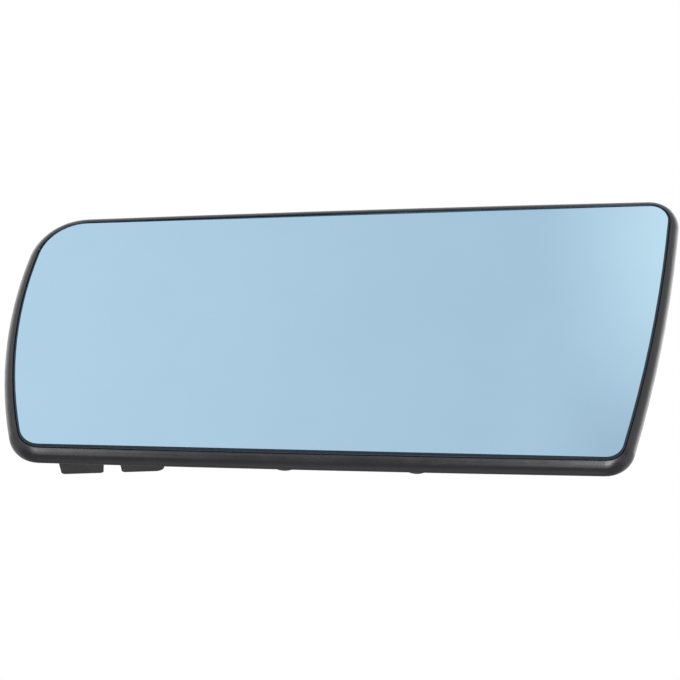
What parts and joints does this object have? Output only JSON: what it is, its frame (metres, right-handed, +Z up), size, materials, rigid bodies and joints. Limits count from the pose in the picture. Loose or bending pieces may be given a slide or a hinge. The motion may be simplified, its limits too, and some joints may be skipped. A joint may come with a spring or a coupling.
{
  "type": "car door mirror glass",
  "caption": "Flat blue-tinted mirror bonded with a heater film into a black moulded carrier with a rounded bezel, ribs, stud sockets, a guide fork and a wire retaining spring.",
  "frame": {"origin": "middle of the four stud sockets on the back, on the plane of their mouths", "axes": "+X to the right as seen from the glass side, +Y out of the back along the stud axes, +Z up as fitted on the car"},
  "size_m": [0.1897, 0.0168, 0.0907],
  "materials": {
    "carrier_plastic": "satin black moulding",
    "mirror_coating": "polished, light blue",
    "heater_film": "matt film",
    "spring_steel": "drawn wire",
    "tinned_brass": "tinned sheet"
  },
  "bodies": {
    "root": {"carrier_plate": "carrier_plastic", "mirror_glass": "mirror_coating", "heating_foil": "heater_film", "retaining_spring": "spring_steel", "heater_terminal_upper": "tinned_brass", "heater_terminal_lower": "tinned_brass"}
  },
  "joints": []
}
